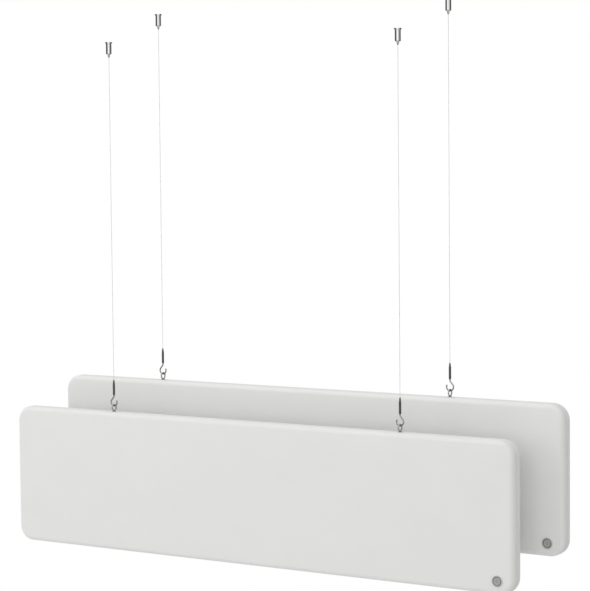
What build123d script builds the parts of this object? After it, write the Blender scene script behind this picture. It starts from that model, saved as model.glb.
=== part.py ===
from build123d import *
import os
from math import acos, cos, degrees, pi, radians, sin, sqrt, tan

# Two identical acoustic panels that hang from the ceiling, one behind the other.
# Each panel hangs on two steel wires. A wire is held at the ceiling by a ball gripper,
# and ends in a ferrule with an open hook, which carries a screw eye in the panel's edge.
# Lengths are in millimetres. X runs along the panels, Y away from the viewer, Z up.
# The origin is on the ceiling, midway between the front unit's two ceiling caps.

# Places of the two units and of the wires
back_unit_shift = (54.6, 100.0, 60.5)
wire_spacing = 690.0
panel_drop = 770.0

# Panel
panel_length = 1190.0
panel_height = 290.0
panel_thickness = 35.0
panel_corner_radius = 32.0
panel_edge_radius = 10.0
cover_wall = 1.5
cover_gap = 1.6
welt_recess = 0.5
welt_clearance = 0.05
layer_clearance = 0.1
frame_thickness = 12.0
frame_rail_width = 40.0
frame_window_radius = 4.0
core_clearance = 0.3

# Badge, set in from the panel's right and bottom edges
badge_radius = 11.0
badge_thickness = 1.8
badge_edge_round = 0.3
badge_groove_depth = 0.6
badge_rim_width = 1.6
badge_ring_outer_radius = 6.4
badge_ring_inner_radius = 4.4
badge_stem_radius = 1.5
badge_stem_length = 19.0
badge_stem_clearance = 0.1
badge_from_side = 34.0
badge_from_bottom = 26.0

# Screw eye
eye_ring_radius = 6.4
eye_wire_radius = 1.4
eye_sink = 0.5
eye_collar_radius = 4.0
eye_collar_thickness = 1.2
eye_collar_round = 0.4
eye_shank_radius = 1.8
eye_shank_length = 25.0
eye_point_length = 3.0
eye_hole_clearance = 0.1

# Hook
hook_wire_radius = 1.4
hook_ring_radius = 7.6
hook_neck_rise = 12.0
hook_neck_bend = 3.0
hook_neck_length = 3.0
hook_tip_angle = 148.0
hook_tip_round = 0.6
hook_seat_gap = 0.1
hook_shank_in_ferrule = 12.0

# Ferrule
ferrule_radius = 2.4
ferrule_tip_radius = 1.2
ferrule_taper_length = 9.0
ferrule_body_length = 21.5
ferrule_end_length = 1.5
ferrule_end_radius = 1.8
ferrule_taper_round = 14.0
ferrule_tip_round = 0.15
ferrule_end_round = 0.8
ferrule_socket_depth = 1.0
ferrule_socket_clearance = 0.2
ferrule_seat_clearance = 0.05

# Wire
wire_radius = 0.6
wire_end_gap = 0.02
wire_tail_above_balls = 9.0

# Ceiling cap
cap_flange_radius = 7.5
cap_flange_thickness = 3.0
cap_flange_round = 0.5
cap_boss_radius = 4.7
cap_boss_length = 6.0
cap_thread_clearance = 0.1
screw_hole_radius = 2.1
screw_head_room_radius = 3.6

# Gripper barrel
barrel_radius = 6.0
barrel_length = 22.5
barrel_bottom_round = 1.9
barrel_floor = 3.5
barrel_bore_radius = 4.4
barrel_cone_angle = 12.0

# Gripper plunger, balls and spring
ball_radius = 1.3
ball_level = 6.5
ball_wire_gap = 0.02
ball_cone_gap = 0.03
ball_hole_clearance = 0.05
plunger_radius = 2.5
plunger_guide_clearance = 0.05
plunger_bore_clearance = 0.2
plunger_head_clearance = 0.2
plunger_head_thickness = 1.2
nipple_length = 6.5
nipple_collar_length = 1.5
nipple_tip_radius = 1.4
nipple_shoulder_round = 0.6
spring_length = 4.5
spring_wire_radius = 0.3
spring_turns = 3.5
spring_bore_clearance = 0.35
spring_end_gap = 0.02

# Heights in a unit's own frame, where the ceiling is at 0
boss_bottom = -(cap_flange_thickness + cap_boss_length)
barrel_bottom = -(cap_flange_thickness + barrel_length)
balls_height = barrel_bottom + ball_level
plunger_top = boss_bottom - spring_length
nipple_tip = barrel_bottom - nipple_length
panel_top = -panel_drop
panel_middle = panel_top - panel_height / 2
eye_centre = panel_top + eye_collar_thickness - eye_sink + eye_wire_radius + eye_ring_radius
eye_seat = eye_centre + eye_ring_radius
hook_seat = eye_seat - eye_wire_radius - hook_seat_gap - hook_wire_radius
hook_centre = hook_seat + hook_ring_radius
neck_corner = hook_centre + hook_neck_rise
ferrule_bottom = neck_corner + hook_neck_length
ferrule_tip = ferrule_bottom + ferrule_end_length + ferrule_body_length + ferrule_taper_length
ferrule_pivot = ferrule_tip - ferrule_socket_depth

# Places along the panel and round the wire
line_x = wire_spacing / 2
badge_x = panel_length / 2 - badge_from_side
badge_z = panel_top - panel_height + badge_from_bottom
ball_orbit = wire_radius + ball_wire_gap + ball_radius
cone_radius_at_balls = ball_orbit + (ball_radius + ball_cone_gap) / cos(radians(barrel_cone_angle))

units = {"front": (0.0, 0.0, 0.0), "back": back_unit_shift}
sides = {"left": -1, "right": 1}


def turned(points, rounds=()):
    """A solid of revolution about Z from an outline of (radius, height) points.

    Each entry of rounds is a corner's radius and height, and the size of its fillet.
    """
    outline = make_face(Polyline(*points, close=True))
    for radius, height, size in rounds:
        corner = outline.vertices().sort_by_distance((radius, height, 0))[0]
        outline = fillet(corner, size)
    return revolve(Plane.XZ * outline, Axis.Z)


def rod(radius, bottom, top):
    """A cylinder on the Z axis between two heights."""
    return Pos(0, 0, bottom) * Cylinder(radius, top - bottom, align=(Align.CENTER, Align.CENTER, Align.MIN))


# Ceiling fixing

def ceiling_cap():
    under = -cap_flange_thickness
    return turned([
        (screw_hole_radius, 0),
        (cap_flange_radius, 0),
        (cap_flange_radius, under),
        (cap_boss_radius, under),
        (cap_boss_radius, boss_bottom),
        (screw_head_room_radius, boss_bottom),
        (screw_head_room_radius, under),
        (screw_hole_radius, under),
    ], [(cap_flange_radius, under, cap_flange_round)])


def cone_radius(height):
    """The barrel's inner cone, which narrows downwards round the balls."""
    return cone_radius_at_balls + (height - balls_height) * tan(radians(barrel_cone_angle))


def gripper_barrel():
    thread = cap_boss_radius + cap_thread_clearance
    guide = plunger_radius + plunger_guide_clearance
    floor_top = barrel_bottom + barrel_floor
    cone_rise = (barrel_bore_radius - cone_radius_at_balls) / tan(radians(barrel_cone_angle))
    thread_bottom = boss_bottom - cap_thread_clearance
    return turned([
        (thread, -cap_flange_thickness),
        (barrel_radius, -cap_flange_thickness),
        (barrel_radius, barrel_bottom),
        (guide, barrel_bottom),
        (guide, floor_top),
        (cone_radius(floor_top), floor_top),
        (barrel_bore_radius, balls_height + cone_rise),
        (barrel_bore_radius, thread_bottom),
        (thread, thread_bottom),
    ], [(barrel_radius, barrel_bottom, barrel_bottom_round)])


def around_wire(shape):
    """The shape on the line of the first ball, repeated for all three."""
    return [Rot(0, 0, 90 + 120 * i) * shape for i in range(3)]


def gripper_plunger():
    bore = wire_radius + plunger_bore_clearance
    head = barrel_bore_radius - plunger_head_clearance
    shoulder = barrel_bottom - nipple_collar_length
    body = turned([
        (bore, plunger_top),
        (head, plunger_top),
        (head, plunger_top - plunger_head_thickness),
        (plunger_radius, plunger_top - plunger_head_thickness),
        (plunger_radius, shoulder),
        (nipple_tip_radius, nipple_tip),
        (bore, nipple_tip),
    ], [(plunger_radius, shoulder, nipple_shoulder_round)])
    hole = Pos(0, 0, balls_height) * Rot(0, 90, 0) * Cylinder(
        ball_radius + ball_hole_clearance,
        2 * plunger_radius,
        align=(Align.CENTER, Align.CENTER, Align.MIN),
    )
    for cut in around_wire(hole):
        body -= cut
    return body


def gripper_balls():
    return Compound(children=around_wire(Pos(ball_orbit, 0, balls_height) * Sphere(ball_radius)))


def helix_biarc(radius, pitch, start, end):
    """Two tangent arcs that follow a helix between two angles in radians."""
    def place(angle):
        return Vector(radius * cos(angle), radius * sin(angle), pitch * angle / (2 * pi))

    def heading(angle):
        return Vector(-radius * sin(angle), radius * cos(angle), pitch / (2 * pi)).normalized()

    first, last = place(start), place(end)
    leaving, arriving = heading(start), heading(end)
    span = last - first
    both = leaving + arriving
    lead = span.dot(both)
    spread = 2 * (1 - leaving.dot(arriving))
    reach = (-lead + sqrt(lead * lead + spread * span.dot(span))) / spread
    middle = (first + leaving * reach + last - arriving * reach) * 0.5
    opening = TangentArc(first, middle, tangent=leaving)
    return [opening, TangentArc(middle, last, tangent=opening % 1)]


def gripper_spring():
    wire_room = spring_wire_radius + spring_end_gap
    rise = spring_length - 2 * wire_room
    mean_radius = barrel_bore_radius - spring_bore_clearance - spring_wire_radius
    steps = round(4 * spring_turns)
    arcs = []
    for i in range(steps):
        arcs += helix_biarc(mean_radius, rise / spring_turns, i * pi / 2, (i + 1) * pi / 2)
    path = Wire([edge for arc in arcs for edge in arc.edges()])
    section = Plane(origin=path @ 0, z_dir=path % 0) * Circle(spring_wire_radius)
    return Pos(0, 0, plunger_top + wire_room) * sweep(section, path=path)


# Wire, ferrule and hook

def wire_tail():
    return rod(wire_radius, nipple_tip + wire_radius + wire_end_gap, balls_height + wire_tail_above_balls)


def wire_bend():
    return Pos(0, 0, nipple_tip) * Sphere(wire_radius)


def wire():
    end = Pos(0, 0, ferrule_pivot) * Sphere(wire_radius)
    return rod(wire_radius, ferrule_pivot, nipple_tip - wire_radius - wire_end_gap) + end


def ferrule():
    socket = wire_radius + ferrule_socket_clearance
    end_top = ferrule_bottom + ferrule_end_length
    taper_bottom = ferrule_tip - ferrule_taper_length
    body = turned([
        (0, ferrule_bottom),
        (ferrule_end_radius, ferrule_bottom),
        (ferrule_radius, end_top),
        (ferrule_radius, taper_bottom),
        (ferrule_tip_radius, ferrule_tip),
        (0, ferrule_tip),
    ], [
        (ferrule_radius, end_top, ferrule_end_round),
        (ferrule_radius, taper_bottom, ferrule_taper_round),
        (ferrule_tip_radius, ferrule_tip, ferrule_tip_round),
    ])
    body -= rod(socket, ferrule_pivot, ferrule_tip)
    body -= Pos(0, 0, ferrule_pivot) * Sphere(wire_radius + ferrule_seat_clearance)
    return body - rod(hook_wire_radius, ferrule_bottom, ferrule_bottom + hook_shank_in_ferrule)


def hook():
    """An open hook in the XZ plane, with its mouth towards -X."""
    tangent_angle = 90 - degrees(acos(hook_ring_radius / hook_neck_rise))
    tangent_point = (
        hook_ring_radius * cos(radians(tangent_angle)),
        hook_ring_radius * sin(radians(tangent_angle)),
    )
    shank_top = ferrule_bottom + hook_shank_in_ferrule - hook_centre
    neck = FilletPolyline((0, shank_top), (0, hook_neck_rise), tangent_point, radius=hook_neck_bend)
    bow = CenterArc((0, 0), hook_ring_radius, tangent_angle, hook_tip_angle - 360 - tangent_angle)
    path = Wire((Plane.XZ * neck).edges() + (Plane.XZ * bow).edges())
    section = Plane(origin=path @ 0, z_dir=path % 0) * Circle(hook_wire_radius)
    body = sweep(section, path=path)
    tip = body.faces().sort_by_distance(path @ 1)[0]
    return Pos(0, 0, hook_centre) * fillet(tip.edges(), hook_tip_round)


def screw_eye():
    """A closed ring across the panel, on a collar, with a pointed shank."""
    ring = Pos(0, 0, eye_centre) * Rot(0, 90, 0) * Torus(eye_ring_radius, eye_wire_radius)
    foot = turned([
        (0, panel_top + eye_collar_thickness),
        (eye_collar_radius, panel_top + eye_collar_thickness),
        (eye_collar_radius, panel_top),
        (eye_shank_radius, panel_top),
        (eye_shank_radius, panel_top - eye_shank_length + eye_point_length),
        (0, panel_top - eye_shank_length),
    ], [(eye_collar_radius, panel_top + eye_collar_thickness, eye_collar_round)])
    return ring + foot


# Panel

def slab(inset, front, back, corner_radius):
    """A rounded rectangle, set in from the panel's outline, between two depths."""
    outline = RectangleRounded(panel_length - 2 * inset, panel_height - 2 * inset, corner_radius)
    face = Pos(0, back, panel_middle) * (Plane.XZ * outline)
    return extrude(face, amount=back - front)


def softened(body, radius):
    """The same slab with the edge of its front face rounded."""
    return fillet(body.faces().sort_by(Axis.Y)[0].edges(), radius)


def eye_holes(radius, depth):
    return [Pos(side * line_x, 0, 0) * rod(radius, panel_top - depth, panel_top) for side in sides.values()]


def badge_hole(radius):
    return Pos(badge_x, 0, badge_z) * Rot(90, 0, 0) * Cylinder(radius, panel_thickness)


def half_cover():
    """The front cover before the badge's hole is cut: a shallow tray, open at the back."""
    front = -panel_thickness / 2
    rim = -cover_gap / 2
    outside = softened(slab(0, front, rim, panel_corner_radius), panel_edge_radius)
    inside = softened(
        slab(cover_wall, front + cover_wall, rim, panel_corner_radius - cover_wall),
        panel_edge_radius - cover_wall,
    )
    tray = outside - inside
    for hole in eye_holes(eye_shank_radius + eye_hole_clearance, cover_wall):
        tray -= hole
    return tray


def front_cover():
    return half_cover() - badge_hole(badge_stem_radius + badge_stem_clearance)


def back_cover():
    return mirror(half_cover(), Plane.XZ)


def half_padding():
    """The front padding before the badge's hole is cut."""
    inset = cover_wall + layer_clearance
    front = -panel_thickness / 2 + inset
    back = -frame_thickness / 2 - layer_clearance
    return softened(slab(inset, front, back, panel_corner_radius - inset), panel_edge_radius - inset)


def front_padding():
    return half_padding() - badge_hole(badge_stem_radius + badge_stem_clearance)


def back_padding():
    return mirror(half_padding(), Plane.XZ)


def edge_welt():
    half_width = cover_gap / 2 - welt_clearance
    ring = slab(welt_recess, -half_width, half_width, panel_corner_radius - welt_recess)
    ring -= slab(cover_wall, -half_width, half_width, panel_corner_radius - cover_wall)
    for hole in eye_holes(eye_shank_radius + eye_hole_clearance, cover_wall):
        ring -= hole
    return Compound(children=ring.solids())


def core_frame():
    inset = cover_wall + layer_clearance
    half = frame_thickness / 2
    body = slab(inset, -half, half, panel_corner_radius - inset)
    body -= slab(inset + frame_rail_width, -half, half, frame_window_radius)
    for hole in eye_holes(eye_shank_radius, eye_shank_length):
        body -= hole
    return body - badge_hole(badge_stem_radius)


def absorber_core():
    inset = cover_wall + layer_clearance + frame_rail_width + core_clearance
    half = frame_thickness / 2
    return slab(inset, -half, half, frame_window_radius)


def badge():
    """A stamped plate with a rim and one raised ring, on a stem."""
    face = badge_thickness
    floor = badge_thickness - badge_groove_depth
    rim = badge_radius - badge_rim_width
    corners = [(badge_radius, face), (rim, face), (badge_ring_outer_radius, face), (badge_ring_inner_radius, face)]
    body = turned([
        (0, -badge_stem_length),
        (badge_stem_radius, -badge_stem_length),
        (badge_stem_radius, 0),
        (badge_radius, 0),
        (badge_radius, face),
        (rim, face),
        (rim, floor),
        (badge_ring_outer_radius, floor),
        (badge_ring_outer_radius, face),
        (badge_ring_inner_radius, face),
        (badge_ring_inner_radius, floor),
        (0, floor),
    ], [(*corner, badge_edge_round) for corner in corners])
    return Pos(badge_x, -panel_thickness / 2, badge_z) * Rot(90, 0, 0) * body


# Whole model

line_pieces = {
    "ceiling_cap": ceiling_cap,
    "gripper_barrel": gripper_barrel,
    "gripper_plunger": gripper_plunger,
    "gripper_balls": gripper_balls,
    "gripper_spring": gripper_spring,
    "wire_tail": wire_tail,
    "wire_bend": wire_bend,
    "wire": wire,
    "ferrule": ferrule,
    "hook": hook,
    "screw_eye": screw_eye,
}

panel_pieces = {
    "front_cover": front_cover,
    "back_cover": back_cover,
    "edge_welt": edge_welt,
    "core_frame": core_frame,
    "absorber_core": absorber_core,
    "front_padding": front_padding,
    "back_padding": back_padding,
    "badge": badge,
}


def main():
    os.makedirs("parts", exist_ok=True)
    for piece, make in line_pieces.items():
        shape = make()
        mirrored = mirror(shape, Plane.YZ) if piece == "hook" else shape
        for unit, shift in units.items():
            for side, sense in sides.items():
                placed = Pos(*shift) * Pos(sense * line_x, 0, 0) * (mirrored if sense < 0 else shape)
                export_step(placed, f"parts/{unit}_{side}_{piece}.step")
    for piece, make in panel_pieces.items():
        shape = make()
        for unit, shift in units.items():
            export_step(Pos(*shift) * shape, f"parts/{unit}_panel_{piece}.step")


if __name__ == "__main__":
    main()
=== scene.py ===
import math
import bmesh
import bpy
from mathutils import Matrix, Vector


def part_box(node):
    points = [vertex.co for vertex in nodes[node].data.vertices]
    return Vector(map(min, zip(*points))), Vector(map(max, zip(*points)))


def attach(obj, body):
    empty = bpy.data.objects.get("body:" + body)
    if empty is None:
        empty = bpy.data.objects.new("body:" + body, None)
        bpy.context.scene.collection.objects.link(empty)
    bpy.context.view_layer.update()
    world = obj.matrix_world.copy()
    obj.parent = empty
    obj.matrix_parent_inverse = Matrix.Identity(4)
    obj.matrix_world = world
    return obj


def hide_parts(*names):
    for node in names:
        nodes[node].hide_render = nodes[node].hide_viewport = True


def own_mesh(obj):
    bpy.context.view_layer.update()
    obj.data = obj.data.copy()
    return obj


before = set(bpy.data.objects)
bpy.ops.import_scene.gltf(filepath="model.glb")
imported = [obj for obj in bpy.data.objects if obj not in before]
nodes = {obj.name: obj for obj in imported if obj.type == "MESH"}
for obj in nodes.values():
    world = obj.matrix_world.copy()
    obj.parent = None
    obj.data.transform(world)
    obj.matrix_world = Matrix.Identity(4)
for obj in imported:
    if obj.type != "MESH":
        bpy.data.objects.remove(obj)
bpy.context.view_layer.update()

scene = bpy.context.scene
print("frame loaded,", len(nodes), "nodes")

# Camera at the photograph's place, in metres and degrees
photoView = {"place": (2.3094, -3.4249, -0.2491), "turn": 32.729, "down": 3.721, "lean": -0.545, "lens": 126.1}

cameraData = bpy.data.cameras.new("photoCamera")
cameraData.lens = photoView["lens"]
cameraData.clip_start = 0.05
cameraData.clip_end = 60.0
camera = bpy.data.objects.new("photoCamera", cameraData)
scene.collection.objects.link(camera)
camera.matrix_world = (
    Matrix.Translation(photoView["place"])
    @ Matrix.Rotation(math.radians(photoView["turn"]), 4, "Z")
    @ Matrix.Rotation(math.radians(90 - photoView["down"]), 4, "X")
    @ Matrix.Rotation(math.radians(photoView["lean"]), 4, "Z")
)
scene.camera = camera
scene.view_settings.view_transform = "Standard"

units = ("front", "back")
sides = ("left", "right")
unitShift = {unit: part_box(f"{unit}_panel_core_frame")[0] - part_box("front_panel_core_frame")[0] for unit in units}
wirePlace = {side: sum(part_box(f"front_{side}_wire"), Vector()).x / 2 for side in sides}


# Small helpers for edit mode

def selectOnly(*pieces):
    if bpy.context.mode != "OBJECT":
        bpy.ops.object.mode_set(mode="OBJECT")
    bpy.ops.object.select_all(action="DESELECT")
    for piece in pieces:
        piece.select_set(True)
    bpy.context.view_layer.objects.active = pieces[0]


def openMesh(piece):
    selectOnly(piece)
    bpy.ops.object.mode_set(mode="EDIT")
    bpy.ops.mesh.select_all(action="DESELECT")


def closeMesh():
    bpy.ops.object.mode_set(mode="OBJECT")


def pick(kind, test):
    # kind is VERT, EDGE or FACE, and only what passes the test ends up selected
    bpy.ops.mesh.select_mode(type=kind)
    bpy.ops.mesh.select_all(action="DESELECT")
    mesh = bpy.context.edit_object.data
    work = bmesh.from_edit_mesh(mesh)
    found = [item for item in {"VERT": work.verts, "EDGE": work.edges, "FACE": work.faces}[kind] if test(item)]
    for item in found:
        item.select_set(True)
    bmesh.update_edit_mesh(mesh)
    return len(found)


def applyModifier(piece, kind, **settings):
    selectOnly(piece)
    modifier = piece.modifiers.new(kind.title(), kind)
    for name, value in settings.items():
        setattr(modifier, name, value)
    bpy.ops.object.modifier_apply(modifier=modifier.name)


def setPlace(piece):
    # the piece's place goes into its mesh
    selectOnly(piece)
    bpy.ops.object.transform_apply(location=True, rotation=True, scale=True)


def addBlock(name, low, high):
    bpy.ops.object.select_all(action="DESELECT")
    bpy.ops.mesh.primitive_cube_add(size=1, location=(low + high) / 2, scale=high - low)
    piece = bpy.context.object
    piece.name = piece.data.name = name
    setPlace(piece)
    return piece


def addCutter(radius, depth, place, turn=(0, 0, 0)):
    bpy.ops.object.select_all(action="DESELECT")
    bpy.ops.mesh.primitive_cylinder_add(vertices=24, radius=radius, depth=depth, location=place, rotation=turn)
    cutter = bpy.context.object
    setPlace(cutter)
    return cutter


def cutWith(piece, cutter):
    applyModifier(piece, "BOOLEAN", object=cutter, operation="DIFFERENCE", solver="EXACT")
    bpy.data.objects.remove(cutter, do_unlink=True)


def copyPiece(piece, name, shift=Vector((0, 0, 0)), turn=None):
    # a copy with a mesh of its own, moved and turned in its mesh
    twin = piece.copy()
    twin.data = piece.data.copy()
    twin.name = twin.data.name = name
    if turn is not None:
        twin.data.transform(turn)
    twin.data.transform(Matrix.Translation(shift))
    scene.collection.objects.link(twin)
    return twin


def roundPanel(piece, cornerRound, frontRound, backRound, steps):
    # rounds the four corners, then the front rim and the back rim of a block that stands in the XZ plane
    depths = [v.co.y for v in piece.data.vertices]
    front, back = min(depths), max(depths)
    openMesh(piece)
    pick("EDGE", lambda e: abs(e.verts[0].co.y - e.verts[1].co.y) > 1e-5)
    bpy.ops.mesh.bevel(offset=cornerRound, segments=steps[0], profile=0.5, affect="EDGES", clamp_overlap=False)
    for depth, size, count in ((front, frontRound, steps[1]), (back, backRound, steps[2])):
        if size:
            pick("EDGE", lambda e: all(abs(v.co.y - depth) < 1e-6 for v in e.verts))
            bpy.ops.mesh.bevel(offset=size, segments=count, profile=0.5, affect="EDGES", clamp_overlap=False)
    closeMesh()
    return front, back


def shadeSoftly(piece, angle=35):
    selectOnly(piece)
    bpy.ops.object.shade_smooth_by_angle(angle=math.radians(angle))


# Fabric covers: two trays over the frame, their rims rolled in at the seam

coverSizes = {
    "cornerRound": 0.032,
    "edgeRound": 0.010,
    "rimRoll": 0.0014,
    "wall": 0.0013,
    "crown": 0.0010,
    "columns": 20,
    "rows": 6,
    "eyeHole": 0.00195,
    "badgeHole": 0.0016,
    "eyeHoleDepth": 0.02,
    "badgeHoleDepth": 0.01,
}


def unrollCover(piece, front, middle, half, sizes):
    # the weave lies flat on the face and wraps over the edges without stretching, one map unit to a metre
    coreX, coreZ = half.x - sizes["cornerRound"], half.z - sizes["cornerRound"]
    flat = sizes["cornerRound"] - sizes["edgeRound"]
    weaveMap = piece.data.uv_layers.new(name="weaveMap")
    for loop in piece.data.loops:
        co = piece.data.vertices[loop.vertex_index].co
        x, z, y = co.x - middle.x, co.z - middle.z, co.y - front
        near = Vector((max(-coreX, min(coreX, x)), max(-coreZ, min(coreZ, z))))
        away = Vector((x, z)) - near
        reach = away.length
        if reach > flat:
            if y < sizes["edgeRound"]:
                wrapped = sizes["edgeRound"] * math.atan2(reach - flat, sizes["edgeRound"] - y)
            else:
                wrapped = sizes["edgeRound"] * math.pi / 2 + y - sizes["edgeRound"]
            away = away.normalized() * (flat + wrapped)
        spot = near + away
        weaveMap.data[loop.index].uv = (spot.x + 1, spot.y + 1)


def makeFaceCover(sizes):
    low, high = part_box("front_panel_front_cover")
    cover = addBlock("frontFaceCover", low, high)
    front, back = roundPanel(cover, sizes["cornerRound"], sizes["edgeRound"], sizes["rimRoll"], (14, 10, 3))
    middle, half = (low + high) / 2, (high - low) / 2
    openMesh(cover)
    pick("FACE", lambda f: f.normal.y > 0.99 and f.calc_center_median().y > back - 1e-6)
    bpy.ops.mesh.delete(type="ONLY_FACE")
    for i in range(1, sizes["columns"]):
        bpy.ops.mesh.select_all(action="SELECT")
        bpy.ops.mesh.bisect(plane_co=(low.x + i * 2 * half.x / sizes["columns"], 0, 0), plane_no=(1, 0, 0))
    for i in range(1, sizes["rows"]):
        bpy.ops.mesh.select_all(action="SELECT")
        bpy.ops.mesh.bisect(plane_co=(0, 0, low.z + i * 2 * half.z / sizes["rows"]), plane_no=(0, 0, 1))
    closeMesh()
    unrollCover(cover, front, middle, half, sizes)
    for v in cover.data.vertices:
        if v.co.y < front + 1e-6:
            acrossX = min(1, abs(v.co.x - middle.x) / (half.x - sizes["edgeRound"]))
            acrossZ = min(1, abs(v.co.z - middle.z) / (half.z - sizes["edgeRound"]))
            v.co.y -= sizes["crown"] * (1 - acrossX ** 6) * (1 - acrossZ ** 3)
    applyModifier(cover, "SOLIDIFY", thickness=sizes["wall"], offset=-1, use_even_offset=True)
    for side in sides:
        cutWith(cover, addCutter(sizes["eyeHole"], sizes["eyeHoleDepth"], (wirePlace[side], 0, high.z)))
    shadeSoftly(cover)
    return cover


faceCover = makeFaceCover(coverSizes)
halfTurn = Matrix.Rotation(math.pi, 4, "Z")
rearCover = copyPiece(faceCover, "frontRearCover", turn=halfTurn)
badgeLow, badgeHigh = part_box("front_panel_badge")
badgeMiddle = (badgeLow + badgeHigh) / 2
badgeSpot = (badgeMiddle.x, faceCover.bound_box[0][1], badgeMiddle.z)
cutWith(faceCover, addCutter(coverSizes["badgeHole"], coverSizes["badgeHoleDepth"], badgeSpot, (math.pi / 2, 0, 0)))
shadeSoftly(faceCover)
covers = {
    "front": (faceCover, rearCover),
    "back": (copyPiece(faceCover, "backFaceCover", unitShift["back"]), copyPiece(rearCover, "backRearCover", unitShift["back"])),
}
for unit, (face, rear) in covers.items():
    for piece, node in ((face, f"{unit}_panel_front_cover"), (rear, f"{unit}_panel_back_cover")):
        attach(piece, f"{unit}_panel")
        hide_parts(node)
print("covers made,", len(faceCover.data.polygons), "faces each")


# Piping in the seam between the covers

pipingSizes = {"radius": 0.00075, "setIn": 0.00085, "cornerRound": 0.032, "eyeHole": 0.00195}


def makePiping(sizes):
    low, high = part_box("front_panel_front_cover")
    size = (high - low) - Vector((2, 0, 2)) * sizes["setIn"]
    bpy.ops.object.select_all(action="DESELECT")
    middle = ((low.x + high.x) / 2, 0, (low.z + high.z) / 2)
    bpy.ops.mesh.primitive_plane_add(size=1, location=middle, rotation=(math.pi / 2, 0, 0))
    piping = bpy.context.object
    piping.name = "frontSeamPiping"
    piping.scale = (size.x, size.z, 1)
    setPlace(piping)
    openMesh(piping)
    bpy.ops.mesh.select_all(action="SELECT")
    bpy.ops.mesh.bevel(offset=sizes["cornerRound"] - sizes["setIn"], segments=14, profile=0.5, affect="VERTICES")
    bpy.ops.mesh.select_all(action="SELECT")
    bpy.ops.mesh.delete(type="ONLY_FACE")
    closeMesh()
    selectOnly(piping)
    bpy.ops.object.convert(target="CURVE")
    piping = bpy.context.object
    piping.data.bevel_depth = sizes["radius"]
    piping.data.bevel_resolution = 2
    bpy.ops.object.convert(target="MESH")
    piping = bpy.context.object
    for side in sides:
        cutWith(piping, addCutter(sizes["eyeHole"], 0.01, (wirePlace[side], 0, high.z)))
    shadeSoftly(piping, 50)
    return piping


frontPiping = makePiping(pipingSizes)
pipings = {"front": frontPiping, "back": copyPiece(frontPiping, "backSeamPiping", unitShift["back"])}
for unit, piece in pipings.items():
    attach(piece, f"{unit}_panel")
    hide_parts(f"{unit}_panel_edge_welt")
print("piping made")


# Soft filling inside each cover, and the felt core in the frame's window

fillingSizes = {"padCorner": 0.0304, "padFront": 0.0080, "padBack": 0.0012, "coreCorner": 0.004, "coreEdge": 0.0022}


def makeFilling(name, node, corner, frontRound, backRound):
    piece = addBlock(name, *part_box(node))
    roundPanel(piece, corner, frontRound, backRound, (10, 5, 3))
    shadeSoftly(piece)
    return piece


fillingParts = (
    ("frontFacePad", "front_padding", "padCorner", "padFront", "padBack"),
    ("frontRearPad", "back_padding", "padCorner", "padBack", "padFront"),
    ("frontFeltCore", "absorber_core", "coreCorner", "coreEdge", "coreEdge"),
)
fillings = {
    name: (node, makeFilling(name, f"front_panel_{node}", *(fillingSizes[key] for key in rounds)))
    for name, node, *rounds in fillingParts
}
fillingPieces = {"padding_felt": [], "core_felt": []}
for name, (node, piece) in fillings.items():
    for unit in units:
        one = piece if unit == "front" else copyPiece(piece, name.replace("front", "back"), unitShift["back"])
        slotName = "core_felt" if node == "absorber_core" else "padding_felt"
        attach(one, f"{unit}_panel")
        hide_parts(f"{unit}_panel_{node}")
        fillingPieces[slotName].append(one)
print("filling made")


# Stranded wires, each a core strand with six laid round it

ropeSizes = {
    "diameter": 0.0012, "lay": 0.010, "strands": 6, "strandSides": 6, "ringsPerTurn": 12,
    "endShare": 0.0009, "leadLength": 0.0072,
}


def routePoints(points):
    # the wire's own line, read from a NURBS spline through its points
    route = bpy.data.curves.new("route", "CURVE")
    route.dimensions = "3D"
    spline = route.splines.new("NURBS")
    spline.points.add(len(points) - 1)
    for point, place in zip(spline.points, points):
        point.co = (*place, 1)
    spline.order_u = 3
    spline.use_endpoint_u = True
    spline.resolution_u = 12
    holder = bpy.data.objects.new("route", route)
    line = bpy.data.meshes.new_from_object(holder)
    places = [v.co.copy() for v in line.vertices]
    bpy.data.objects.remove(holder, do_unlink=True)
    bpy.data.curves.remove(route)
    bpy.data.meshes.remove(line)
    return places


def makeRope(name, path, sizes):
    reach = [0.0]
    for a, b in zip(path, path[1:]):
        reach.append(reach[-1] + (b - a).length)
    length = reach[-1]
    rings = max(2, round(length / sizes["lay"] * sizes["ringsPerTurn"]))
    strandRadius = sizes["diameter"] / 6
    work = bmesh.new()
    spots, step = [], 0
    for i in range(rings + 1):
        along = length * i / rings
        while step < len(reach) - 2 and reach[step + 1] < along:
            step += 1
        share = (along - reach[step]) / (reach[step + 1] - reach[step])
        spots.append((along, path[step].lerp(path[step + 1], share)))
    for strand in range(sizes["strands"] + 1):
        orbit = 0 if strand == 0 else 2 * strandRadius
        loops = []
        for along, spot in spots:
            turn = 2 * math.pi * (along / sizes["lay"] + strand / sizes["strands"])
            middle = spot + Vector((math.cos(turn), math.sin(turn), 0)) * orbit
            loops.append([
                work.verts.new(middle + Vector((math.cos(turn + a), math.sin(turn + a), 0)) * strandRadius)
                for a in (2 * math.pi * k / sizes["strandSides"] for k in range(sizes["strandSides"]))
            ])
        for one, two in zip(loops, loops[1:]):
            for k in range(sizes["strandSides"]):
                n = (k + 1) % sizes["strandSides"]
                work.faces.new((one[k], one[n], two[n], two[k]))
        work.faces.new(loops[0])
        work.faces.new(reversed(loops[-1]))
    bmesh.ops.recalc_face_normals(work, faces=work.faces)
    mesh = bpy.data.meshes.new(name)
    work.to_mesh(mesh)
    work.free()
    rope = bpy.data.objects.new(name, mesh)
    scene.collection.objects.link(rope)
    shadeSoftly(rope, 70)
    return rope


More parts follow.
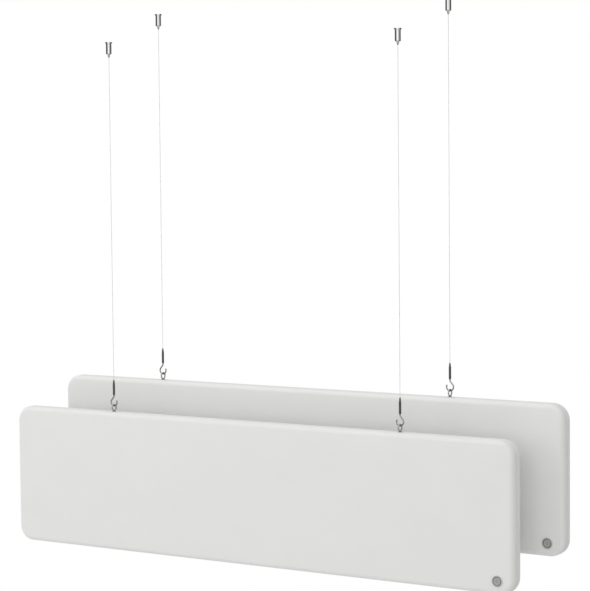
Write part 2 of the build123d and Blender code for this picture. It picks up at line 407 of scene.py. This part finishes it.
ropes = []
for unit in units:
    for side in sides:
        low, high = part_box(f"{unit}_{side}_wire")
        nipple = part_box(f"{unit}_{side}_gripper_plunger")[0].z
        middle = (low + high) / 2
        end = low.z + (high.z - low.z) * ropeSizes["endShare"]
        heights = (nipple, nipple - ropeSizes["leadLength"], end + ropeSizes["leadLength"], end)
        route = [(middle.x, middle.y, z) for z in heights]
        path = routePoints(route)
        rope = makeRope(f"{unit}{side.title()}Rope", path, ropeSizes)
        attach(rope, f"{unit}_{side}_wire")
        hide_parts(f"{unit}_{side}_wire")
        ropes.append(rope)
print("ropes made,", len(ropes[0].data.polygons), "faces each")


# Gripper springs, a coil of wire in each gripper

springSizes = {"wire": 0.0003, "turns": 3.5, "travel": 0.002}


def makeSpring(name, node, sizes):
    low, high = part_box(node)
    middle = (low + high) / 2
    meanRadius = (high.x - low.x) / 2 - sizes["wire"]
    bpy.ops.object.select_all(action="DESELECT")
    bpy.ops.mesh.primitive_circle_add(
        vertices=8, radius=sizes["wire"], location=(meanRadius, 0, 0), rotation=(math.pi / 2, 0, 0), fill_type="NOTHING"
    )
    spring = bpy.context.object
    spring.name = spring.data.name = name
    setPlace(spring)
    rise = high.z - low.z - 2 * sizes["wire"]
    applyModifier(
        spring, "SCREW", angle=2 * math.pi * sizes["turns"], screw_offset=rise, iterations=1,
        steps=round(24 * sizes["turns"]), render_steps=round(24 * sizes["turns"]), use_merge_vertices=False, use_smooth_shade=True,
    )
    openMesh(spring)
    bpy.ops.mesh.select_mode(type="EDGE")
    bpy.ops.mesh.select_non_manifold()
    bpy.ops.mesh.edge_face_add()
    bpy.ops.mesh.select_all(action="SELECT")
    bpy.ops.mesh.normals_make_consistent(inside=False)
    closeMesh()
    heights = [v.co.z for v in spring.data.vertices]
    spring.data.transform(Matrix.Translation((middle.x, middle.y, low.z - min(heights))))
    return spring


springs = []
for unit in units:
    for side in sides:
        node = f"{unit}_{side}_gripper_spring"
        spring = makeSpring(f"{unit}{side.title()}Spring", node, springSizes)
        low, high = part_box(node)
        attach(spring, "ceiling_fixings")
        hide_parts(node)
        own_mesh(spring)
        springs.append(spring)
print("springs made")


# Shared effects, each a node group made once

def newGroup(name, inputs, outputs):
    group = bpy.data.node_groups.new(name, "ShaderNodeTree")
    for socketName, kind, value in inputs:
        socket = group.interface.new_socket(name=socketName, in_out="INPUT", socket_type=kind)
        if value is not None:
            socket.default_value = value
    for socketName, kind in outputs:
        group.interface.new_socket(name=socketName, in_out="OUTPUT", socket_type=kind)
    return group, group.nodes.new("NodeGroupInput"), group.nodes.new("NodeGroupOutput")


def feed(tree, socket, value):
    # a value is a plain number or colour, or another node's socket
    if isinstance(value, bpy.types.NodeSocket):
        tree.links.new(value, socket)
    else:
        socket.default_value = value


def calc(tree, operation, *values):
    node = tree.nodes.new("ShaderNodeMath")
    node.operation = operation
    for socket, value in zip(node.inputs, values):
        feed(tree, socket, value)
    return node.outputs[0]


def blend(tree, share, one, two):
    node = tree.nodes.new("ShaderNodeMix")
    node.data_type = "RGBA"
    feed(tree, node.inputs[0], share)
    feed(tree, node.inputs[6], one)
    feed(tree, node.inputs[7], two)
    return node.outputs[2]


def noise(tree, vector, scale, detail=2.0, roughness=0.5):
    node = tree.nodes.new("ShaderNodeTexNoise")
    tree.links.new(vector, node.inputs["Vector"])
    feed(tree, node.inputs["Scale"], scale)
    node.inputs["Detail"].default_value = detail
    node.inputs["Roughness"].default_value = roughness
    return node.outputs["Fac"]


def stretched(tree, vector, scale):
    node = tree.nodes.new("ShaderNodeMapping")
    tree.links.new(vector, node.inputs["Vector"])
    node.inputs["Scale"].default_value = scale
    return node.outputs[0]


def makeWeaveGroup():
    # a plain weave: each thread's round back, over and under in turn, with uneven threads; its Tone paints shade into
    # the low gaps between threads
    group, given, made = newGroup(
        "plainWeave",
        [("Vector", "NodeSocketVector", None), ("Threads", "NodeSocketFloat", 1400.0), ("Unevenness", "NodeSocketFloat", 0.3)],
        [("Height", "NodeSocketFloat"), ("Tone", "NodeSocketFloat")],
    )
    spread = group.nodes.new("ShaderNodeVectorMath")
    spread.operation = "SCALE"
    group.links.new(given.outputs["Vector"], spread.inputs[0])
    group.links.new(given.outputs["Threads"], spread.inputs["Scale"])
    parts = group.nodes.new("ShaderNodeSeparateXYZ")
    group.links.new(spread.outputs[0], parts.inputs[0])
    across, up = parts.outputs[0], parts.outputs[1]
    warp = calc(group, "SINE", calc(group, "MULTIPLY", calc(group, "FRACT", across), math.pi))
    weft = calc(group, "SINE", calc(group, "MULTIPLY", calc(group, "FRACT", up), math.pi))
    turn = calc(group, "MODULO", calc(group, "ADD", calc(group, "FLOOR", across), calc(group, "FLOOR", up)), 2.0)
    over = calc(group, "MULTIPLY", warp, calc(group, "ADD", calc(group, "MULTIPLY", weft, 0.45), 0.55))
    under = calc(group, "MULTIPLY", weft, calc(group, "ADD", calc(group, "MULTIPLY", warp, 0.45), 0.55))
    warpUp = calc(group, "MULTIPLY", over, turn)
    weftUp = calc(group, "MULTIPLY", under, calc(group, "SUBTRACT", 1.0, turn))
    height = calc(group, "ADD", warpUp, weftUp)
    slubWarp = noise(group, stretched(group, given.outputs["Vector"], (900, 14, 1)), 1.0)
    slubWeft = noise(group, stretched(group, given.outputs["Vector"], (14, 900, 1)), 1.0)
    slub = calc(group, "SUBTRACT", calc(group, "ADD", slubWarp, slubWeft), 1.0)
    uneven = calc(group, "MULTIPLY", slub, given.outputs["Unevenness"])
    group.links.new(calc(group, "ADD", height, uneven), made.inputs["Height"])
    # painted shade: the tone follows the weave's height and is darker in the low gaps between threads; the uneven
    # threads add their own tone
    shade = calc(group, "MULTIPLY", calc(group, "ADD", height, -0.6), 0.5)
    group.links.new(calc(group, "ADD", shade, uneven), made.inputs["Tone"])
    return group


def makeMetalGroup():
    # fine drawing lines, small scratches and handling marks
    group, given, made = newGroup(
        "metalFinish",
        [("Vector", "NodeSocketVector", None), ("Grain", "NodeSocketFloat", 900.0), ("Marks", "NodeSocketFloat", 60.0)],
        [("Height", "NodeSocketFloat"), ("Mask", "NodeSocketFloat")],
    )
    fine = noise(group, given.outputs["Vector"], given.outputs["Grain"], 4.0, 0.7)
    lines = noise(group, stretched(group, given.outputs["Vector"], (1.0, 1.0, 9.0)), given.outputs["Grain"], 3.0, 0.6)
    marks = noise(group, given.outputs["Vector"], given.outputs["Marks"], 5.0, 0.65)
    group.links.new(calc(group, "ADD", calc(group, "MULTIPLY", fine, 0.4), calc(group, "MULTIPLY", lines, 0.6)), made.inputs["Height"])
    group.links.new(marks, made.inputs["Mask"])
    return group


def makeFibreGroup():
    # matted fibres: fine tangled lines over soft clumps
    group, given, made = newGroup(
        "mattedFibre",
        [("Vector", "NodeSocketVector", None), ("Fineness", "NodeSocketFloat", 700.0), ("Clumps", "NodeSocketFloat", 70.0)],
        [("Height", "NodeSocketFloat"), ("Tone", "NodeSocketFloat")],
    )
    wander = group.nodes.new("ShaderNodeTexVoronoi")
    wander.feature = "DISTANCE_TO_EDGE"
    group.links.new(given.outputs["Vector"], wander.inputs["Vector"])
    group.links.new(given.outputs["Fineness"], wander.inputs["Scale"])
    clumps = noise(group, given.outputs["Vector"], given.outputs["Clumps"], 4.0, 0.6)
    fuzz = noise(group, given.outputs["Vector"], given.outputs["Fineness"], 3.0, 0.7)
    tangle = calc(group, "ADD", calc(group, "MULTIPLY", wander.outputs["Distance"], 0.8), calc(group, "MULTIPLY", fuzz, 0.6))
    group.links.new(tangle, made.inputs["Height"])
    mottle = calc(group, "ADD", calc(group, "MULTIPLY", clumps, 0.7), calc(group, "MULTIPLY", fuzz, 0.3))
    group.links.new(mottle, made.inputs["Tone"])
    return group


weaveGroup, metalGroup, fibreGroup = makeWeaveGroup(), makeMetalGroup(), makeFibreGroup()
print("shared effects made")


# Materials

def newMaterial(name, **settings):
    material = bpy.data.materials.new(name)
    material.use_nodes = True
    tree = material.node_tree
    shader = tree.nodes["Principled BSDF"]
    for socketName, value in settings.items():
        shader.inputs[socketName.replace("_", " ")].default_value = value
    return material, tree, shader


def objectPlace(tree):
    return tree.nodes.new("ShaderNodeTexCoord").outputs["Object"]


def useGroup(tree, group, vector, **values):
    node = tree.nodes.new("ShaderNodeGroup")
    node.node_tree = group
    tree.links.new(vector, node.inputs["Vector"])
    for name, value in values.items():
        node.inputs[name].default_value = value
    return node


def addRelief(tree, shader, height, distance, strength=1.0):
    bump = tree.nodes.new("ShaderNodeBump")
    bump.inputs["Distance"].default_value = distance
    bump.inputs["Strength"].default_value = strength
    tree.links.new(height, bump.inputs["Height"])
    tree.links.new(bump.outputs[0], shader.inputs["Normal"])


def spreadValue(tree, value, low, high):
    node = tree.nodes.new("ShaderNodeMapRange")
    tree.links.new(value, node.inputs["Value"])
    node.inputs["From Min"].default_value = 0.3
    node.inputs["From Max"].default_value = 0.7
    node.inputs["To Min"].default_value = low
    node.inputs["To Max"].default_value = high
    return node.outputs[0]


fabricLook = {"light": (0.83, 0.83, 0.815, 1), "shade": (0.79, 0.79, 0.775, 1), "threads": 1400.0, "depth": 0.00012}


def makeFabric(name, look, fromMap):
    material, tree, shader = newMaterial(name, Roughness=0.9, Sheen_Weight=0.12, Sheen_Roughness=0.5, Specular_IOR_Level=0.25)
    if fromMap:
        uv = tree.nodes.new("ShaderNodeUVMap")
        uv.uv_map = "weaveMap"
        vector = uv.outputs[0]
    else:
        vector = objectPlace(tree)
    weave = useGroup(tree, weaveGroup, vector, Threads=look["threads"], Unevenness=0.25)
    soft = noise(tree, vector, 9.0, 3.0)
    # the base colour carries the weave's painted shade in the thread gaps, with the threads' own uneven tone and a soft
    # random tone
    threadToneAndShade = calc(tree, "ADD", calc(tree, "MULTIPLY", weave.outputs["Tone"], 0.55), calc(tree, "MULTIPLY", soft, 0.9))
    tree.links.new(blend(tree, threadToneAndShade, look["shade"], look["light"]), shader.inputs["Base Color"])
    addRelief(tree, shader, weave.outputs["Height"], look["depth"])
    return material


metalLooks = {
    "chromePlate": {"color": (0.50, 0.50, 0.495, 1), "roughness": (0.07, 0.16), "grain": 1500.0, "depth": 0.000002},
    "nipplePlate": {"color": (0.50, 0.50, 0.49, 1), "roughness": (0.12, 0.22), "grain": 1500.0, "depth": 0.000003},
    "nickelPlate": {"color": (0.34, 0.34, 0.33, 1), "roughness": (0.14, 0.26), "grain": 1200.0, "depth": 0.000004},
    "eyePlate": {"color": (0.38, 0.38, 0.37, 1), "roughness": (0.14, 0.26), "grain": 1200.0, "depth": 0.000004},
    "wireSteel": {"metallic": 0.35, "color": (0.90, 0.90, 0.89, 1), "roughness": (0.25, 0.38), "grain": 4000.0, "depth": 0.000003},
    "ballSteel": {"color": (0.62, 0.62, 0.62, 1), "roughness": (0.06, 0.12), "grain": 3000.0, "depth": 0.000001},
    "springSteel": {"color": (0.42, 0.42, 0.42, 1), "roughness": (0.28, 0.40), "grain": 4000.0, "depth": 0.000003},
    "darkFerrule": {"color": (0.10, 0.10, 0.095, 1), "roughness": (0.30, 0.45), "grain": 1400.0, "depth": 0.000006},
}


def makeMetal(name, look):
    material, tree, shader = newMaterial(name, Metallic=look.get("metallic", 1.0))
    place = objectPlace(tree)
    finish = useGroup(tree, metalGroup, place, Grain=look["grain"])
    darker = tuple(c * 0.86 for c in look["color"][:3]) + (1,)
    tree.links.new(blend(tree, finish.outputs["Mask"], look["color"], darker), shader.inputs["Base Color"])
    tree.links.new(spreadValue(tree, finish.outputs["Mask"], *look["roughness"]), shader.inputs["Roughness"])
    addRelief(tree, shader, finish.outputs["Height"], look["depth"])
    return material


badgeLook = {
    "rim": (0.60, 0.60, 0.58, 1), "field": (0.24, 0.24, 0.235, 1), "ring": (0.50, 0.50, 0.49, 1), "centre": (0.38, 0.38, 0.37, 1),
    "rimFrom": 0.0093, "ringFrom": 0.0043, "ringTo": 0.0065,
}


def makeBadgeMaterial(name, middle, look):
    material, tree, shader = newMaterial(name, Metallic=0.85)
    place = objectPlace(tree)
    centred = tree.nodes.new("ShaderNodeMapping")
    tree.links.new(place, centred.inputs["Vector"])
    centred.inputs["Location"].default_value = (-middle.x, 0, -middle.z)
    centred.inputs["Scale"].default_value = (1, 0, 1)
    length = tree.nodes.new("ShaderNodeVectorMath")
    length.operation = "LENGTH"
    tree.links.new(centred.outputs[0], length.inputs[0])
    away = length.outputs["Value"]
    color = blend(tree, calc(tree, "GREATER_THAN", away, look["ringFrom"]), look["centre"], look["ring"])
    color = blend(tree, calc(tree, "GREATER_THAN", away, look["ringTo"]), color, look["field"])
    color = blend(tree, calc(tree, "GREATER_THAN", away, look["rimFrom"]), color, look["rim"])
    finish = useGroup(tree, metalGroup, place, Grain=2500.0)
    worn = blend(tree, calc(tree, "MULTIPLY", finish.outputs["Mask"], 0.25), color, (0.7, 0.7, 0.69, 1))
    tree.links.new(worn, shader.inputs["Base Color"])
    tree.links.new(spreadValue(tree, finish.outputs["Mask"], 0.28, 0.42), shader.inputs["Roughness"])
    addRelief(tree, shader, finish.outputs["Height"], 0.000005)
    return material


feltLooks = {
    "paddingWad": {"light": (0.88, 0.88, 0.865, 1), "shade": (0.70, 0.70, 0.685, 1), "fineness": 500.0, "clumps": 55.0, "depth": 0.0004},
    "coreFelt": {"light": (0.50, 0.50, 0.485, 1), "shade": (0.30, 0.30, 0.29, 1), "fineness": 800.0, "clumps": 90.0, "depth": 0.0002},
}


def makeFelt(name, look):
    material, tree, shader = newMaterial(name, Roughness=0.95, Sheen_Weight=0.2, Specular_IOR_Level=0.2)
    fibre = useGroup(tree, fibreGroup, objectPlace(tree), Fineness=look["fineness"], Clumps=look["clumps"])
    tree.links.new(blend(tree, fibre.outputs["Tone"], look["shade"], look["light"]), shader.inputs["Base Color"])
    addRelief(tree, shader, fibre.outputs["Height"], look["depth"])
    return material


woodLook = {"light": (0.72, 0.55, 0.35, 1), "dark": (0.52, 0.36, 0.20, 1), "pores": 900.0, "depth": 0.00006}


def makeWood(name, look):
    material, tree, shader = newMaterial(name, Roughness=0.62)
    place = objectPlace(tree)
    long = stretched(tree, place, (3.0, 60.0, 60.0))
    rings = tree.nodes.new("ShaderNodeTexWave")
    rings.wave_type = "BANDS"
    rings.bands_direction = "Z"
    rings.inputs["Scale"].default_value = 1.3
    rings.inputs["Distortion"].default_value = 5.0
    rings.inputs["Detail"].default_value = 3.0
    tree.links.new(long, rings.inputs["Vector"])
    pores = noise(tree, stretched(tree, place, (0.06, 1.0, 1.0)), look["pores"], 3.0, 0.6)
    grain = calc(tree, "ADD", calc(tree, "MULTIPLY", rings.outputs["Fac"], 0.6), calc(tree, "MULTIPLY", pores, 0.5))
    tree.links.new(blend(tree, grain, look["dark"], look["light"]), shader.inputs["Base Color"])
    addRelief(tree, shader, pores, look["depth"])
    return material


def dress(piece, material):
    if not piece.material_slots:
        piece.data.materials.append(material)
    for slot in piece.material_slots:
        slot.material = material


coverFabric = makeFabric("coverFabric", fabricLook, True)
pipingLook = {**fabricLook, "light": (0.80, 0.80, 0.785, 1), "shade": (0.74, 0.74, 0.725, 1), "depth": 0.00008}
pipingFabric = makeFabric("pipingFabric", pipingLook, False)
metals = {name: makeMetal(name, look) for name, look in metalLooks.items()}
felts = {name: makeFelt(name, look) for name, look in feltLooks.items()}
frameWood = makeWood("frameWood", woodLook)

for pair in covers.values():
    for piece in pair:
        dress(piece, coverFabric)
for piece in pipings.values():
    dress(piece, pipingFabric)
for piece in fillingPieces["padding_felt"]:
    dress(piece, felts["paddingWad"])
for piece in fillingPieces["core_felt"]:
    dress(piece, felts["coreFelt"])
for piece in ropes:
    dress(piece, metals["wireSteel"])
for piece in springs:
    dress(piece, metals["springSteel"])

hardware = {
    "ceiling_cap": "chromePlate", "gripper_barrel": "chromePlate", "gripper_plunger": "nipplePlate", "gripper_balls": "ballSteel",
    "gripper_spring": "springSteel", "wire_tail": "wireSteel", "wire_bend": "wireSteel", "wire": "wireSteel",
    "ferrule": "darkFerrule", "hook": "nickelPlate", "screw_eye": "eyePlate",
}
for unit in units:
    for side in sides:
        for node, finish in hardware.items():
            dress(nodes[f"{unit}_{side}_{node}"], metals[finish])
    dress(nodes[f"{unit}_panel_core_frame"], frameWood)
    dress(nodes[f"{unit}_panel_badge"], makeBadgeMaterial(f"{unit}BadgeMetal", badgeMiddle + unitShift[unit], badgeLook))
    for node, material in (
        ("front_cover", coverFabric), ("back_cover", coverFabric), ("edge_welt", pipingFabric), ("front_padding", felts["paddingWad"]),
        ("back_padding", felts["paddingWad"]), ("absorber_core", felts["coreFelt"]),
    ):
        dress(nodes[f"{unit}_panel_{node}"], material)
print("materials made")


# Studio: pale floor, soft light from the left front, and dark cards that only polished metal sees

studio = {
    "floorHeight": -2.4, "floorRadius": 6.0, "floorColor": (0.86, 0.86, 0.86, 1),
    "air": 0.57,
    "lamps": {
        "leftLamp": {"place": (-3.0, -3.2, 0.4), "target": (-0.2, 0.0, -0.9), "size": (3.6, 3.6), "power": 50.0},
        "frontLamp": {"place": (1.7, -4.3, 0.4), "target": (0.0, 0.0, -0.9), "size": (3.6, 3.0), "power": 36.0},
        "rightLamp": {"place": (3.6, -0.9, -0.3), "target": (0.5, 0.0, -0.9), "size": (1.8, 2.2), "power": 2.0},
        "topLamp": {"place": (0.0, -0.7, 2.4), "target": (0.0, 0.0, -0.8), "size": (3.0, 2.0), "power": 32.0},
    },
    "cards": {"leftCard": ((-2.6, -1.7, -0.4), 0.05), "rightCard": ((2.7, 1.7, -0.4), 0.10)},
    "cardSize": (4.2, 3.8),
}


def aim(place, target):
    return (Vector(target) - Vector(place)).to_track_quat("-Z", "Y").to_matrix().to_4x4()


def makeFloor():
    bpy.ops.object.select_all(action="DESELECT")
    bpy.ops.mesh.primitive_circle_add(vertices=96, radius=studio["floorRadius"], location=(0, 0, studio["floorHeight"]), fill_type="NGON")
    floor = bpy.context.object
    floor.name = "studioFloor"
    material, tree, shader = newMaterial("floorPaint", Roughness=0.85, Base_Color=studio["floorColor"])
    clear = tree.nodes.new("ShaderNodeBsdfTransparent")
    sideSeen = tree.nodes.new("ShaderNodeNewGeometry").outputs["Backfacing"]
    mix = tree.nodes.new("ShaderNodeMixShader")
    tree.links.new(sideSeen, mix.inputs[0])
    tree.links.new(shader.outputs[0], mix.inputs[1])
    tree.links.new(clear.outputs[0], mix.inputs[2])
    tree.links.new(mix.outputs[0], tree.nodes["Material Output"].inputs["Surface"])
    dress(floor, material)


def makeWorld():
    world = bpy.data.worlds.new("studioAir")
    scene.world = world
    world.use_nodes = True
    tree = world.node_tree
    air = tree.nodes["Background"]
    air.inputs["Color"].default_value = (1, 1, 1, 1)
    air.inputs["Strength"].default_value = studio["air"]
    white = tree.nodes.new("ShaderNodeBackground")
    white.inputs["Color"].default_value = (1, 1, 1, 1)
    white.inputs["Strength"].default_value = 1.0
    rays = tree.nodes.new("ShaderNodeLightPath")
    mirrored = calc(tree, "MAXIMUM", rays.outputs["Is Glossy Ray"], rays.outputs["Is Transmission Ray"])
    seen = calc(tree, "MAXIMUM", rays.outputs["Is Camera Ray"], mirrored)
    mix = tree.nodes.new("ShaderNodeMixShader")
    tree.links.new(seen, mix.inputs[0])
    tree.links.new(air.outputs[0], mix.inputs[1])
    tree.links.new(white.outputs[0], mix.inputs[2])
    tree.links.new(mix.outputs[0], tree.nodes["World Output"].inputs["Surface"])


def makeLamps():
    for name, lamp in studio["lamps"].items():
        data = bpy.data.lights.new(name, "AREA")
        data.shape = "RECTANGLE"
        data.size, data.size_y = lamp["size"]
        data.energy = lamp["power"]
        holder = bpy.data.objects.new(name, data)
        scene.collection.objects.link(holder)
        holder.matrix_world = Matrix.Translation(lamp["place"]) @ aim(lamp["place"], lamp["target"])


def makeCards():
    for name, (place, grey) in studio["cards"].items():
        bpy.ops.object.select_all(action="DESELECT")
        bpy.ops.mesh.primitive_plane_add(size=1)
        card = bpy.context.object
        card.name = name
        card.data.transform(Matrix.Translation(place) @ aim(place, (0, 0, place[2])) @ Matrix.Diagonal((*studio["cardSize"], 1, 1)))
        material = bpy.data.materials.new(name)
        material.use_nodes = True
        tree = material.node_tree
        tree.nodes.remove(tree.nodes["Principled BSDF"])
        glow = tree.nodes.new("ShaderNodeEmission")
        glow.inputs["Color"].default_value = (grey, grey, grey, 1)
        tree.links.new(glow.outputs[0], tree.nodes["Material Output"].inputs["Surface"])
        dress(card, material)
        card.visible_camera = card.visible_diffuse = card.visible_shadow = card.visible_transmission = False


makeFloor()
makeWorld()
makeLamps()
makeCards()
print("studio made")
